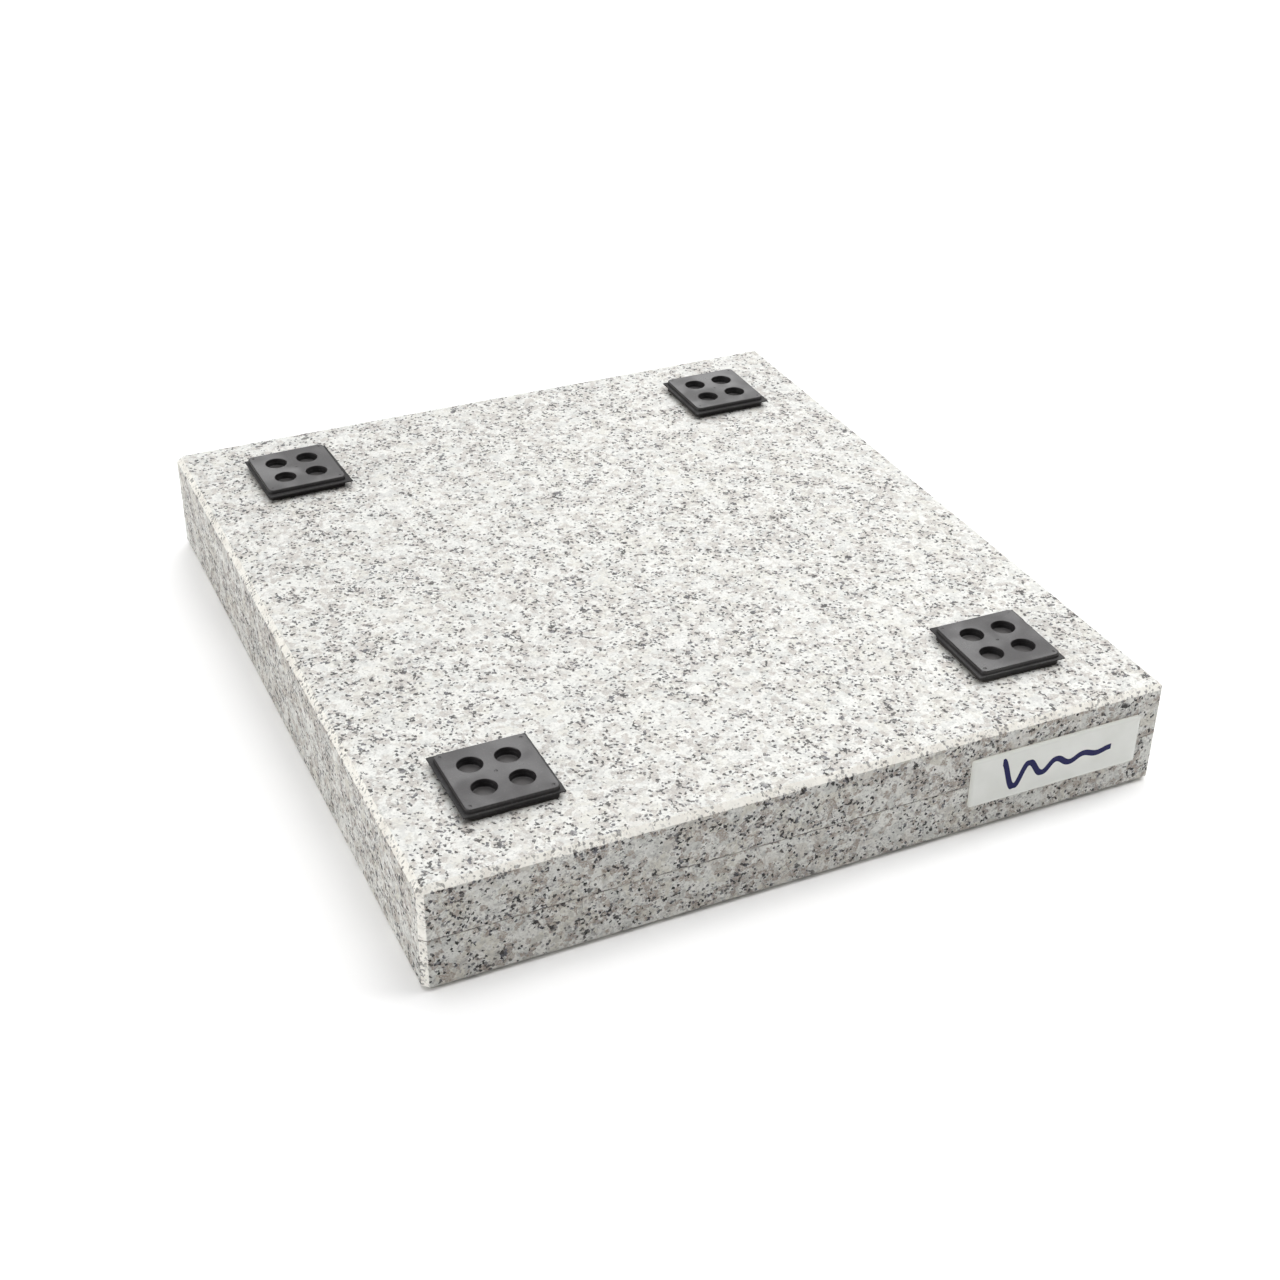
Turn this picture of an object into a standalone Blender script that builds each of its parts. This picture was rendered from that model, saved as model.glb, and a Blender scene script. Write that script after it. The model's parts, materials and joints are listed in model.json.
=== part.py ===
"""Granite base plate that steadies a sensitive bench instrument.

Two granite plates are bonded face to face. Four moulded rubber feet are glued
to one side, and a domed label is stuck to one edge. The plate is modelled
lying on its working face with the feet up: +Z points out of the feet, -Y out
of the labelled edge, and the origin is the middle of the working face.
"""

import math

import bmesh
import bpy
from mathutils import Vector

# ---------------------------------------------------------------- dimensions
# All lengths are in metres.
SLAB_WIDTH = 0.400                  # along X
SLAB_DEPTH = 0.450                  # along Y
WORKING_PLATE_THICKNESS = 0.0295
FOOT_SIDE_PLATE_THICKNESS = 0.0295
EDGE_CHAMFER = 0.0035               # every outer arris of the slab

CLEARANCE = 0.0003                  # between pieces that touch
PLATE_BOND_THICKNESS = 0.0004
PLATE_BOND_INSET = 0.0004           # the bond line sits just inside the edge faces

FOOT_INSET = 0.060                  # foot centre to the two nearest edge faces
FOOT_SIDE = 0.047
FOOT_HEIGHT = 0.0058
FOOT_CORNER_RADIUS = 0.003
FOOT_EDGE_RADIUS = 0.0004
FOOT_BOND_THICKNESS = 0.0003
FOOT_BOND_INSET = 0.0010
WEB_MARGIN = 0.0018                 # parting web past the foot's sides
WEB_THICKNESS = 0.0008
RECESS_DIAMETER = 0.0122
RECESS_PITCH = 0.0190
RECESS_FLOOR = 0.0013               # rubber left under each blind recess

LABEL_WIDTH = 0.100
LABEL_HEIGHT = 0.028
LABEL_CORNER_RADIUS = 0.0012
LABEL_SIDE_MARGIN = 0.0148          # to the slab's right edge face
LABEL_TOP_MARGIN = 0.0145           # to the foot-side face
LABEL_ADHESIVE_THICKNESS = 0.0002
LABEL_FILM_THICKNESS = 0.0002
LABEL_DOME_THICKNESS = 0.0012
LABEL_DOME_EDGE_RADIUS = 0.0007

# The feet are set by hand, so each sits and turns a little off its nominal
# place, and the trimmed web is a little off the foot.
# name: (side in X, side in Y, offset, turn, web offset, web turn)
FEET = {
    "front_left": (-1, -1, (-0.0002, -0.0003), 0.1, (-0.0001, 0.0008), 0.3),
    "front_right": (1, -1, (-0.0024, 0.0012), -0.8, (0.0003, 0.0008), -1.0),
    "rear_left": (-1, 1, (0.0001, 0.0027), 1.2, (0.0008, -0.0008), 1.0),
    "rear_right": (1, 1, (-0.0012, 0.0018), 0.0, (0.0002, -0.0004), 0.4),
}

# ------------------------------------------------------------ derived levels
BOND_BOTTOM = WORKING_PLATE_THICKNESS + CLEARANCE
UPPER_PLATE_BOTTOM = BOND_BOTTOM + PLATE_BOND_THICKNESS + CLEARANCE
SLAB_HEIGHT = UPPER_PLATE_BOTTOM + FOOT_SIDE_PLATE_THICKNESS
FOOT_BOND_BOTTOM = SLAB_HEIGHT + CLEARANCE
FOOT_BOTTOM = FOOT_BOND_BOTTOM + FOOT_BOND_THICKNESS + CLEARANCE

CIRCLE_SIDES = 40
CORNER_SEGMENTS = 5


# ------------------------------------------------------------------- set-up
def clear_scene():
    for item in list(bpy.data.objects):
        bpy.data.objects.remove(item, do_unlink=True)


def new_collection(name):
    group = bpy.data.collections.new(name)
    bpy.context.scene.collection.children.link(group)
    return group


def finish(name, colour, roughness, metallic=0.0):
    material = bpy.data.materials.new(name)
    material.use_nodes = True
    shader = material.node_tree.nodes["Principled BSDF"]
    shader.inputs["Base Color"].default_value = (*colour, 1.0)
    shader.inputs["Roughness"].default_value = roughness
    shader.inputs["Metallic"].default_value = metallic
    return material


# ------------------------------------------------------------------- shapes
def edges_along(mesh, axis):
    """Edges parallel to an axis."""
    return [
        edge for edge in mesh.edges
        if abs((edge.verts[1].co - edge.verts[0].co).normalized().dot(axis)) > 0.999
    ]


def edges_at_height(mesh, height):
    """Edges of the flat face at a height."""
    return [
        edge for edge in mesh.edges
        if all(abs(vert.co.z - height) < 1e-6 for vert in edge.verts)
    ]


def block(width, depth, height):
    """A box standing on the XY plane, centred on Z."""
    mesh = bmesh.new()
    bmesh.ops.create_cube(mesh, size=1.0)
    bmesh.ops.scale(mesh, vec=Vector((width, depth, height)), verts=mesh.verts)
    bmesh.ops.translate(mesh, vec=Vector((0, 0, height / 2)), verts=mesh.verts)
    return mesh


def round_edges(mesh, edges, radius, segments):
    bmesh.ops.bevel(
        mesh, geom=edges, offset=radius, offset_type="OFFSET",
        segments=segments, profile=0.5, affect="EDGES", clamp_overlap=True,
    )


def granite_plate(thickness, outer_height):
    """A plate with its corners and the arris at outer_height chamfered."""
    mesh = block(SLAB_WIDTH, SLAB_DEPTH, thickness)
    edges = edges_along(mesh, Vector((0, 0, 1)))
    edges += edges_at_height(mesh, outer_height)
    round_edges(mesh, edges, EDGE_CHAMFER, 1)
    return mesh


def plate_bond():
    mesh = block(
        SLAB_WIDTH - 2 * PLATE_BOND_INSET,
        SLAB_DEPTH - 2 * PLATE_BOND_INSET,
        PLATE_BOND_THICKNESS,
    )
    round_edges(mesh, edges_along(mesh, Vector((0, 0, 1))), EDGE_CHAMFER, 1)
    return mesh


def rounded_pad(width, depth, height, corner_radius, edge_radius=0.0, both_edges=False):
    """A pad with rounded corners, and softened top or top and bottom edges."""
    mesh = block(width, depth, height)
    round_edges(mesh, edges_along(mesh, Vector((0, 0, 1))), corner_radius, CORNER_SEGMENTS)
    if edge_radius:
        edges = edges_at_height(mesh, height)
        if both_edges:
            edges += edges_at_height(mesh, 0.0)
        round_edges(mesh, edges, edge_radius, 2)
    return mesh


def recess_pins():
    """Four pins that shape the blind recesses in a foot's tread."""
    mesh = bmesh.new()
    depth = FOOT_HEIGHT - RECESS_FLOOR
    for side_x in (-1, 1):
        for side_y in (-1, 1):
            pin = bmesh.ops.create_cone(
                mesh, cap_ends=True, segments=CIRCLE_SIDES,
                radius1=RECESS_DIAMETER / 2, radius2=RECESS_DIAMETER / 2,
                depth=2 * depth,
            )
            place = Vector((side_x, side_y, 0)) * RECESS_PITCH / 2
            place.z = FOOT_HEIGHT
            bmesh.ops.translate(mesh, vec=place, verts=pin["verts"])
    return mesh


# ------------------------------------------------------------------ objects
def add_object(name, mesh, group, material=None, parent=None, height=0.0):
    data = bpy.data.meshes.new(name)
    mesh.to_mesh(data)
    mesh.free()
    data.shade_smooth()
    data.set_sharp_from_angle(angle=math.radians(30))
    if material:
        data.materials.append(material)
    item = bpy.data.objects.new(name, data)
    group.objects.link(item)
    item.parent = parent
    item.location.z = height
    return item


def add_empty(name, group, location, rotation):
    item = bpy.data.objects.new(name, None)
    item.empty_display_size = 0.02
    item.location = location
    item.rotation_euler = rotation
    group.objects.link(item)
    return item


def hide_cutter(item):
    item.hide_render = True
    item.display_type = "WIRE"


def add_boolean(item, name, operation, other):
    modifier = item.modifiers.new(name, "BOOLEAN")
    modifier.operation = operation
    modifier.solver = "EXACT"
    modifier.object = other


def make_slab(parts):
    granite_light = finish("foot_side_granite", (0.62, 0.61, 0.59), 0.60)
    granite_dark = finish("working_granite", (0.56, 0.55, 0.53), 0.45)
    epoxy = finish("plate_bond_epoxy", (0.17, 0.165, 0.155), 0.50)
    add_object(
        "granite_working_plate",
        granite_plate(WORKING_PLATE_THICKNESS, 0.0),
        parts, granite_dark,
    )
    add_object("plate_bond_film", plate_bond(), parts, epoxy, height=BOND_BOTTOM)
    add_object(
        "granite_foot_side_plate",
        granite_plate(FOOT_SIDE_PLATE_THICKNESS, FOOT_SIDE_PLATE_THICKNESS),
        parts, granite_light, height=UPPER_PLATE_BOTTOM,
    )


def make_foot(corner, parts, cutters, rubber, glue):
    side_x, side_y, offset, turn, web_offset, web_turn = FEET[corner]
    place = add_empty(
        f"foot_{corner}_place", parts,
        (
            side_x * (SLAB_WIDTH / 2 - FOOT_INSET) + offset[0],
            side_y * (SLAB_DEPTH / 2 - FOOT_INSET) + offset[1],
            0.0,
        ),
        (0.0, 0.0, math.radians(turn)),
    )
    bond_side = FOOT_SIDE - 2 * FOOT_BOND_INSET
    add_object(
        f"foot_{corner}_bond_film",
        rounded_pad(bond_side, bond_side, FOOT_BOND_THICKNESS, FOOT_CORNER_RADIUS),
        parts, glue, place, FOOT_BOND_BOTTOM,
    )
    foot = add_object(
        f"foot_{corner}",
        rounded_pad(
            FOOT_SIDE, FOOT_SIDE, FOOT_HEIGHT,
            FOOT_CORNER_RADIUS, FOOT_EDGE_RADIUS, both_edges=True,
        ),
        parts, rubber, place, FOOT_BOTTOM,
    )
    web_side = FOOT_SIDE + 2 * WEB_MARGIN
    web = add_object(
        f"foot_{corner}_web",
        block(web_side, web_side, WEB_THICKNESS),
        cutters, parent=place,
        height=FOOT_BOTTOM + (FOOT_HEIGHT - WEB_THICKNESS) / 2,
    )
    web.location.x, web.location.y = web_offset
    web.rotation_euler.z = math.radians(web_turn)
    hide_cutter(web)
    pins = add_object(
        f"foot_{corner}_recess_pins", recess_pins(), cutters,
        parent=place, height=FOOT_BOTTOM,
    )
    hide_cutter(pins)
    add_boolean(foot, "parting_web", "UNION", web)
    add_boolean(foot, "recesses", "DIFFERENCE", pins)


def make_feet(parts, cutters):
    rubber = finish("foot_rubber", (0.09, 0.086, 0.088), 0.55)
    glue = finish("foot_glue", (0.05, 0.05, 0.05), 0.60)
    for corner in FEET:
        make_foot(corner, parts, cutters, rubber, glue)


def make_label(parts):
    """The label's layers, stacked outwards from the -Y edge face."""
    place = add_empty(
        "label_place", parts,
        (
            SLAB_WIDTH / 2 - LABEL_SIDE_MARGIN - LABEL_WIDTH / 2,
            -SLAB_DEPTH / 2,
            SLAB_HEIGHT - LABEL_TOP_MARGIN - LABEL_HEIGHT / 2,
        ),
        (math.radians(90), 0.0, 0.0),
    )
    layers = (
        ("label_adhesive_film", LABEL_ADHESIVE_THICKNESS, 0.0,
         finish("label_adhesive", (0.62, 0.62, 0.58), 0.50)),
        ("label_print_film", LABEL_FILM_THICKNESS, 0.0,
         finish("label_print", (0.66, 0.67, 0.65), 0.35)),
        ("label_dome", LABEL_DOME_THICKNESS, LABEL_DOME_EDGE_RADIUS,
         finish("label_dome", (0.80, 0.81, 0.80), 0.08)),
    )
    height = CLEARANCE
    for name, thickness, edge_radius, material in layers:
        mesh = rounded_pad(
            LABEL_WIDTH, LABEL_HEIGHT, thickness, LABEL_CORNER_RADIUS, edge_radius,
        )
        add_object(name, mesh, parts, material, place, height)
        height += thickness + CLEARANCE


def main():
    clear_scene()
    parts = new_collection("granite_base_plate")
    cutters = new_collection("granite_base_plate_cutters")
    make_slab(parts)
    make_feet(parts, cutters)
    make_label(parts)
    bpy.context.view_layer.update()


main()
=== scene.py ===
"""Looks for a granite base plate that steadies a sensitive bench instrument.

Two worn granite plates bonded face to face, four moulded rubber feet glued on
top, and a domed label on one edge. Lengths are in metres unless a name says
otherwise: +Z points out of the feet, -Y out of the labelled edge, and the
origin is the middle of the working face, which lies on the floor.
"""

import json
import math

import bmesh
import bpy
from mathutils import Matrix, Vector, noise


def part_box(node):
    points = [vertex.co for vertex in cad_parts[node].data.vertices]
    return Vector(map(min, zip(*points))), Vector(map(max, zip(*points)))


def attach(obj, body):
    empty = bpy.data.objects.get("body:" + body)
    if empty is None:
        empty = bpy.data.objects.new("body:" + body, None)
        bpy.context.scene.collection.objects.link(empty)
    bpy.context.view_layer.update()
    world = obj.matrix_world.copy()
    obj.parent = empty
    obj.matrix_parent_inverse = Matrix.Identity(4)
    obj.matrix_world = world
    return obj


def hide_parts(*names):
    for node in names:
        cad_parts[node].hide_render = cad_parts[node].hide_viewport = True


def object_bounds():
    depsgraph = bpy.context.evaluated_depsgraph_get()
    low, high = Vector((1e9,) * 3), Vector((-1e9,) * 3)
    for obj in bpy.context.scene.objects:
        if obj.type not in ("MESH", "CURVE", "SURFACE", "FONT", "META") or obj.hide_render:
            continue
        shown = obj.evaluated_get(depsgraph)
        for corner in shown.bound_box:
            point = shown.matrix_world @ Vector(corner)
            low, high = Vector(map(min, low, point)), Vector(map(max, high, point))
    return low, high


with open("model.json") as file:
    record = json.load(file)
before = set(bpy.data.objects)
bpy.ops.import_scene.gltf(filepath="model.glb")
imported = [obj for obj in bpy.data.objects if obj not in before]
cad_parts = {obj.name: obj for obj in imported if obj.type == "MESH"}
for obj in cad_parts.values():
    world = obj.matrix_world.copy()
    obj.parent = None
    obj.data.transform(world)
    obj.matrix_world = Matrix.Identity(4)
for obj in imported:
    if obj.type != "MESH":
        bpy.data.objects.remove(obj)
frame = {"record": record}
CAD_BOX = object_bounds()

MM = 0.001

# ------------------------------------------------------------------ the slab
SLAB_HALF_WIDTH = CAD_BOX[1][0]
SLAB_HALF_DEPTH = CAD_BOX[1][1]
SLAB_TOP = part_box("granite_foot_side_plate")[1].z
JOINT_LEVEL = (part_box("plate_bond_film")[0].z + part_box("plate_bond_film")[1].z) / 2
JOINT_GAP = 0.36 * MM             # what the epoxy fills between the plates
ARRIS = 3.0 * MM                  # chamfer ground on every outer edge
ARRIS_SOFTNESS = 0.3 * MM         # how far the grinding rounds the chamfer's edges
SAMPLE_SPACING = 0.9 * MM         # along the edges, fine enough for small chips
EPOXY_STEPS = (440, 500)          # along the width and the depth
# Where in the quarry's rock each plate was cut, in mm, and how it lay there.
FOOT_SIDE_CUT = ((431.0, 212.0, 97.0), (0.3, 0.2, 0.5))
WORKING_CUT = ((-318.0, 655.0, -41.0), (-0.4, 0.9, 1.3))

# ------------------------------------------------------------------ the feet
CORNERS = ("front_left", "front_right", "rear_left", "rear_right")
FOOT_SIDE = 47.0 * MM
FOOT_CORNER_RADIUS = 3.0 * MM
FOOT_EDGE_RADIUS = 0.5 * MM
MOULD_DRAFT = 0.15 * MM
WEB_MARGIN = 1.8 * MM
WEB_THICKNESS = 0.8 * MM
RECESS_RADIUS = 6.1 * MM
RECESS_PITCH = 19.0 * MM
RECESS_DEPTH = 4.5 * MM
RECESS_FILLET = 0.6 * MM          # round the floor
RECESS_LIP = 0.45 * MM            # rolled over at the mouth
DIMPLE_PITCH = 41.0 * MM
DIMPLE_DEPTH = 0.5 * MM
TREAD_STEPS = 60                  # along each side of a foot
RECESS_SIDES = 56
DIMPLE_SIDES = 20
DIMPLE_SEED = 11                  # the first foot's, and one more for each next foot
# Turn of each foot, then the trimmed web's offset and turn on that foot.
FOOT_SETTING = {
    "front_left": (0.1, (-0.1 * MM, 0.8 * MM), 0.3),
    "front_right": (-0.8, (0.3 * MM, 0.8 * MM), -1.0),
    "rear_left": (1.2, (0.8 * MM, -0.8 * MM), 1.0),
    "rear_right": (0.0, (0.2 * MM, -0.4 * MM), 0.4),
}

# ----------------------------------------------------------------- the label
LABEL_WIDTH = 100.0 * MM
LABEL_HEIGHT = 28.0 * MM
LABEL_CORNER_RADIUS = 1.2 * MM
# How far each layer stands out from the edge face.
ADHESIVE_TOP = 0.6 * MM
PRINT_TOP = 1.0 * MM
DOME_WALL_TOP = 1.25 * MM
DOME_TOP = 2.5 * MM
DOME_SHOULDER = 5.0 * MM          # width of the rounded margin

# -------------------------------------------------------- camera and lighting
CAMERA_LENS_MM = 54.26
CAMERA_SENSOR_MM = 36.0
CAMERA_PLACE = Vector((-0.3854, -0.8493, 0.6021))
CAMERA_TARGET = Vector((-0.0076, -0.0376, 0.0300))
CAMERA_ROLL = math.radians(0.66)
FLOOR_REACH = 12.0
# Far softboxes: the way to each from the slab, its strength, its spread in degrees.
FAR_SOFTBOXES = {
    "overhead_softbox": ((-0.03, 0.09, 1.00), 2.10, 64.0),
    "rear_softbox": ((0.34, 0.72, 0.62), 1.25, 42.0),
    "side_fill": ((-0.95, -0.06, 0.22), 1.46, 40.0),
}
KEY_PLACE = Vector((1.0, -0.3, 1.3))
KEY_SIDE = 0.9
KEY_WATTS = 11.0
ROOM_STRENGTH = 0.09
BACKDROP_STRENGTH = 1.0


# ------------------------------------------------------------- node plumbing
def find_socket(sockets, key):
    """A socket by its position, its identifier or its name."""
    if isinstance(key, int):
        return sockets[key]
    return next(s for s in sockets if key in (s.identifier, s.name))


class Wire:
    """A socket in a node tree. Arithmetic on it adds Math nodes."""

    def __init__(self, tree, socket=None):
        self.tree = tree
        self.socket = socket

    def node(self, kind, settings=None, inputs=None, output=0):
        """Adds a node: its settings first, then its sockets' values or links."""
        made = self.tree.nodes.new(kind)
        for name, value in (settings or {}).items():
            if name == "stops":
                set_stops(made.color_ramp.elements, value)
            elif name == "stepped":
                made.color_ramp.interpolation = "CONSTANT" if value else "LINEAR"
            else:
                setattr(made, name, value)
        for key, value in (inputs or {}).items():
            socket = find_socket(made.inputs, key)
            if isinstance(value, Wire):
                self.tree.links.new(value.socket, socket)
            elif isinstance(value, list):
                for wire in value:
                    self.tree.links.new(wire.socket, socket)
            else:
                socket.default_value = value
        if not len(made.outputs):
            return None
        return Wire(self.tree, find_socket(made.outputs, output))

    def twin(self, output):
        """Another output of the same node."""
        return Wire(self.tree, find_socket(self.socket.node.outputs, output))

    def math(self, operation, *values):
        return self.node("ShaderNodeMath", {"operation": operation}, dict(enumerate(values)))

    def __add__(self, other):
        return self.math("ADD", self, other)

    __radd__ = __add__

    def __sub__(self, other):
        return self.math("SUBTRACT", self, other)

    def __rsub__(self, other):
        return self.math("SUBTRACT", other, self)

    def __mul__(self, other):
        return self.math("MULTIPLY", self, other)

    __rmul__ = __mul__

    def __truediv__(self, other):
        return self.math("DIVIDE", self, other)

    def __pow__(self, other):
        return self.math("POWER", self, other)

    def least(self, other):
        return self.math("MINIMUM", self, other)

    def most(self, other):
        return self.math("MAXIMUM", self, other)

    def size(self):
        return self.math("ABSOLUTE", self)

    def rise(self, low, high):
        """0 up to low, 1 from high, and a smooth step between."""
        return self.node(
            "ShaderNodeMapRange", {"interpolation_type": "SMOOTHSTEP"},
            {"Value": self, "From Min": low, "From Max": high},
        )

    def fall(self, low, high):
        """1 up to low, 0 from high, and a smooth step between."""
        return 1 - self.rise(low, high)

    def parts(self):
        """The three numbers of a vector."""
        split = self.node("ShaderNodeSeparateXYZ", inputs={"Vector": self})
        return split, split.twin("Y"), split.twin("Z")

    def dyed(self, colour, share, blend="MIX"):
        """This colour with a share of another put over it."""
        return self.node(
            "ShaderNodeMix", {"data_type": "RGBA", "blend_type": blend},
            {"Factor_Float": share, "A_Color": self, "B_Color": colour},
            "Result_Color",
        )


def set_stops(elements, stops):
    """Gives a colour ramp its (position, colour) stops."""
    while len(elements) < len(stops):
        elements.new(1.0)
    for element, (position, colour) in zip(elements, stops):
        element.position = position
        element.color = colour


def paint(red, green, blue):
    """An opaque colour, in linear light."""
    return (red, green, blue, 1.0)


# ------------------------------------------------------- patterns in the work
def cloudy(place, grain, detail=2.0, output="Fac"):
    """Smooth noise whose features are about one grain across."""
    return place.node(
        "ShaderNodeTexNoise", {"noise_dimensions": "3D"},
        {"Vector": place, "Scale": 1.0 / grain, "Detail": detail, "Roughness": 0.55},
        output,
    )


def wandering(place, grain, reach, detail=2.0):
    """The place pushed about by noise, so that straight cell walls wander."""
    push = place.node(
        "ShaderNodeVectorMath", {"operation": "SUBTRACT"},
        {0: cloudy(place, grain, detail, "Color"), 1: (0.5, 0.5, 0.5)},
    )
    return place.node(
        "ShaderNodeVectorMath", {"operation": "MULTIPLY_ADD"},
        {0: push, 1: (reach, reach, reach), 2: place},
    )


def cells(place, grain, feature="F1", output="Distance"):
    """Voronoi cells of about one grain across."""
    return place.node(
        "ShaderNodeTexVoronoi", {"feature": feature, "voronoi_dimensions": "3D"},
        {"Vector": place, "Scale": 1.0 / grain}, output,
    )


# ------------------------------------------------------------------ materials
def new_finish(name):
    """A material with an empty tree, and the wire that starts it."""
    material = bpy.data.materials.new(name)
    material.use_nodes = True
    material.node_tree.nodes.clear()
    return material, Wire(material.node_tree)


def object_place(start, offset_mm=(0.0, 0.0, 0.0), turn=(0.0, 0.0, 0.0)):
    """The place on the object in millimetres, moved and turned for the pattern."""
    place = start.node("ShaderNodeTexCoord", output="Object")
    return start.node(
        "ShaderNodeMapping", {"vector_type": "POINT"},
        {
            "Vector": place, "Location": offset_mm,
            "Rotation": turn, "Scale": (1 / MM, 1 / MM, 1 / MM),
        },
    )


def toned(start, share, *stops, stepped=False):
    """A colour picked from (position, colour) tones by a 0 to 1 share."""
    return start.node(
        "ShaderNodeValToRGB", {"stops": stops, "stepped": stepped}, {"Fac": share}, "Color",
    )


def close_finish(start, inputs):
    """Ends a material in one Principled shader."""
    shader = start.node("ShaderNodeBsdfPrincipled", inputs=inputs, output="BSDF")
    start.node("ShaderNodeOutputMaterial", inputs={"Surface": shader})


def relief(start, height, depth, strength=1.0):
    """A bump whose height of 1 stands for a depth in metres."""
    return start.node(
        "ShaderNodeBump", inputs={"Height": height, "Distance": depth, "Strength": strength},
        output="Normal",
    )


FELDSPAR_TONES = (
    (0.00, paint(0.645, 0.638, 0.600)),
    (0.22, paint(0.570, 0.552, 0.492)),
    (0.42, paint(0.548, 0.550, 0.520)),
    (0.60, paint(0.640, 0.640, 0.604)),
    (0.78, paint(0.558, 0.538, 0.494)),
    (0.90, paint(0.690, 0.684, 0.645)),
)
QUARTZ_TONES = (
    (0.00, paint(0.215, 0.170, 0.140)),
    (0.35, paint(0.330, 0.280, 0.238)),
    (0.65, paint(0.230, 0.190, 0.162)),
    (1.00, paint(0.410, 0.360, 0.312)),
)
MICA_TONES = (
    (0.00, paint(0.010, 0.009, 0.010)),
    (0.45, paint(0.026, 0.022, 0.022)),
    (0.72, paint(0.060, 0.060, 0.072)),
    (0.90, paint(0.120, 0.120, 0.135)),
)
SMOKY_GREY = paint(0.305, 0.300, 0.296)
SMOKY_BROWN = paint(0.225, 0.190, 0.160)
DUSTY_GREY = paint(0.205, 0.200, 0.205)
CLEAN_WHITE = paint(0.705, 0.702, 0.672)
BRUISED_AND_HIGHLIGHT_WHITE = paint(0.690, 0.696, 0.682)
GROUND_AND_HIGHLIGHT_CREAM = paint(0.920, 0.895, 0.830)
SAWN_AND_HIGHLIGHT_WHITENING = 0.34             # how far sawing whitens the pale minerals, with a painted highlight that washes out the lit top
GROUND_AND_HIGHLIGHT_WHITENING = 0.68           # the same for grinding on the arrises, with a painted highlight on the chamfers

# Sizes of the stone's grains and patches, in mm.
DARK_PATCH = 13.0
FELDSPAR_GRAIN = 7.5
FELDSPAR_CRUMB = 2.7
FELDSPAR_CLOUD = 1.25
SMOKE_WISP = 2.4
QUARTZ_GRAIN = 3.2
QUARTZ_SPECK = 0.9
MICA_FLECK = 1.25
MICA_STRING = 5.6                 # the larger grains that the flecks string between
MICA_DUST = 0.85
MICA_BOOK = 2.8
TINT_GRAIN = 2.0
SAWN_TOOTH = 0.35


def chosen(pick, chance):
    """1 where a cell's random number is below the chance, 0 elsewhere."""
    return (pick - chance).fall(-0.01, 0.01)


def crowding_at(place):
    """0 in the cleaner parts of the stone, 1 where dark minerals gather."""
    return cloudy(place, DARK_PATCH, 3.0).rise(0.34, 0.66)


def feldspar(place):
    """Pale grains that make up most of the stone."""
    tone = cells(wandering(place, 3.5, 5.5, 3.0), FELDSPAR_GRAIN, output="Color").parts()[0]
    colour = toned(place, tone, *FELDSPAR_TONES, stepped=True)
    crumbs = cells(wandering(place, 1.4, 2.2, 3.0), FELDSPAR_CRUMB, output="Color").parts()
    colour = colour.dyed(SMOKY_GREY, chosen(crumbs[0], 0.26) * 0.35)
    colour = colour.dyed(CLEAN_WHITE, chosen(crumbs[1], 0.30) * 0.55)
    clouds = cloudy(place, FELDSPAR_CLOUD, 3.0)
    colour = colour.dyed(SMOKY_GREY, clouds.rise(0.46, 0.74) * 0.55)
    return colour.dyed(CLEAN_WHITE, clouds.fall(0.25, 0.45) * 0.6)


def smoky_share(place, crowding):
    """1 in the smoky stains round the gathered dark minerals."""
    return cloudy(place, SMOKE_WISP, 3.0).rise(0.48, 0.66) * (crowding * 0.42 + 0.06)


def quartz_share(place, crowding):
    """1 in the smoky brown quartz grains, which gather in patches."""
    pick = cells(wandering(place, 1.8, 3.6, 4.0), QUARTZ_GRAIN, output="Color").parts()[2]
    grain = cloudy(place, QUARTZ_SPECK, 3.0).rise(0.30, 0.62)
    return chosen(pick, crowding * 0.28 + 0.13) * (grain * 0.75 + 0.25)


def mica_share(place):
    """1 in the black flecks, which string out between the larger grains."""
    fleck = cells(wandering(place, 0.9, 0.9, 2.0), MICA_FLECK)
    middle = fleck.twin("Position")
    wall = cells(wandering(middle, 2.6, 3.6), MICA_STRING, "DISTANCE_TO_EDGE")
    chance = wall.fall(0.04, 0.24) * (crowding_at(middle) * 0.33 + 0.035) + 0.008
    pick, strength, _ = fleck.twin("Color").parts()
    return chosen(pick, chance) * (strength * 0.5 + 0.7).least(1.0)


def mica_dust_share(place, crowding):
    """1 in the fine grey flecks round the black ones."""
    pick = cells(wandering(place, 0.7, 0.7, 2.0), MICA_DUST, output="Color").parts()[1]
    return chosen(pick, crowding * 0.19 + 0.04)


def mica_book_share(place, crowding):
    """1 in the few larger dark clusters."""
    pick = cells(wandering(place, 1.1, 3.2, 4.0), MICA_BOOK, output="Color").parts()[0]
    return chosen(pick, crowding * crowding * 0.022)


def edge_distance(x, y, level_gap):
    """How far a place is from the nearest edge where two outer faces meet."""
    across = SLAB_HALF_WIDTH - x.size()
    along = SLAB_HALF_DEPTH - y.size()
    furthest = across.most(along).most(level_gap)
    squares = across * across + along * along + level_gap * level_gap - furthest * furthest
    return squares.most(0.0) ** 0.5


def arris_closeness(start):
    """1 on the ground outer edges of the slab, and 0 just past them."""
    x, y, z = start.node("ShaderNodeTexCoord", output="Object").parts()
    middle = SLAB_TOP / 2
    level_gap = middle - (z - middle).size()
    return edge_distance(x, y, level_gap).fall(ARRIS * 0.97, ARRIS * 1.06)


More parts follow.
